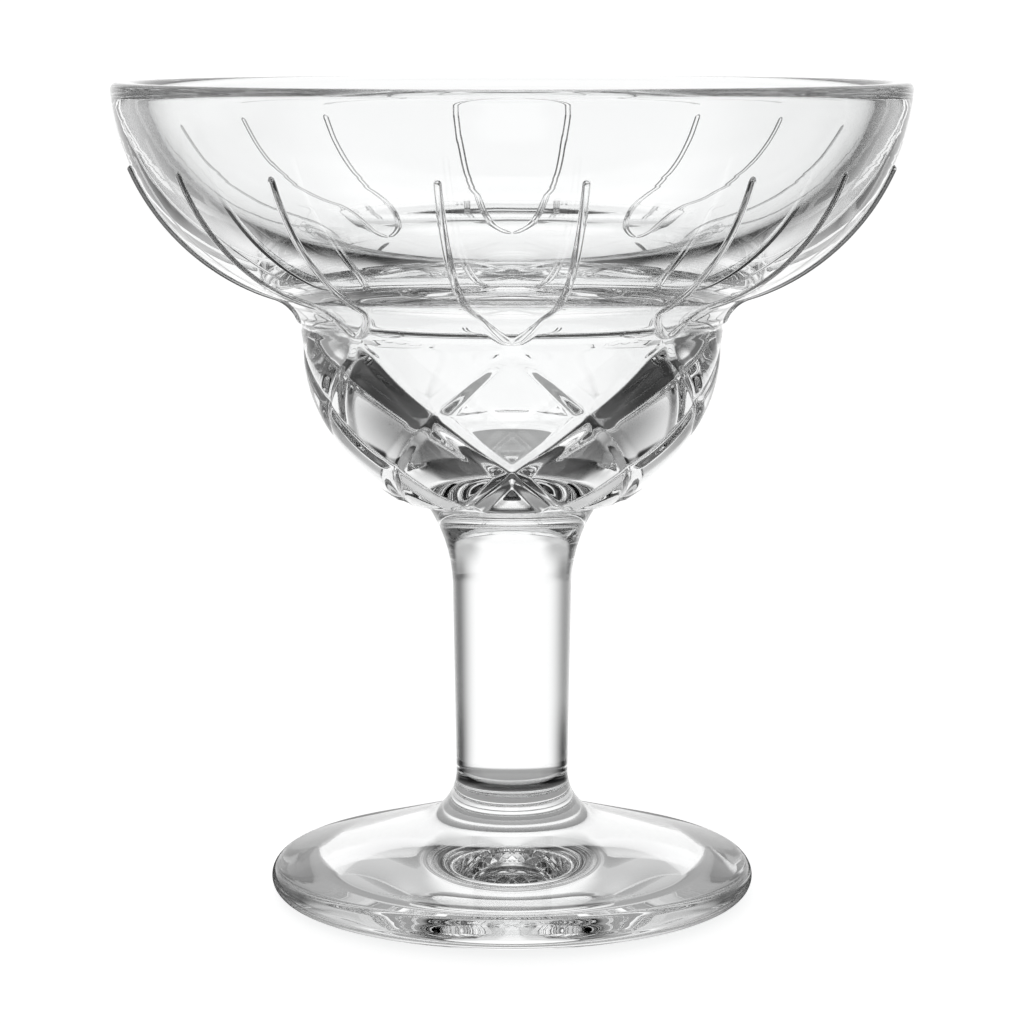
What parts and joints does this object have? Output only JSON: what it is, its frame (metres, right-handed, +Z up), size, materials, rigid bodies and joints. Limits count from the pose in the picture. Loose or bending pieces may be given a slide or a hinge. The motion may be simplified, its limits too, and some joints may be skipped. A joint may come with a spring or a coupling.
{
  "type": "margarita glass",
  "caption": "Clear stemmed margarita glass: wide open bowl with raised threads over a small diamond-cut cup, on a thick solid stem and a round domed foot.",
  "frame": {"origin": "centre of the resting plane under the foot", "axes": "+Z up along the axis of the glass, -Y towards the viewer of the picture, a crossing of the cut lines faces -Y"},
  "size_m": [0.1144, 0.1144, 0.1187],
  "materials": {
    "bowl_glass": "clear fire-polished pressed glass",
    "stem_glass": "clear fire-polished pressed glass",
    "foot_glass": "clear fire-polished pressed glass"
  },
  "bodies": {
    "root": {"bowl": "bowl_glass", "stem": "stem_glass", "foot": "foot_glass"}
  },
  "joints": []
}
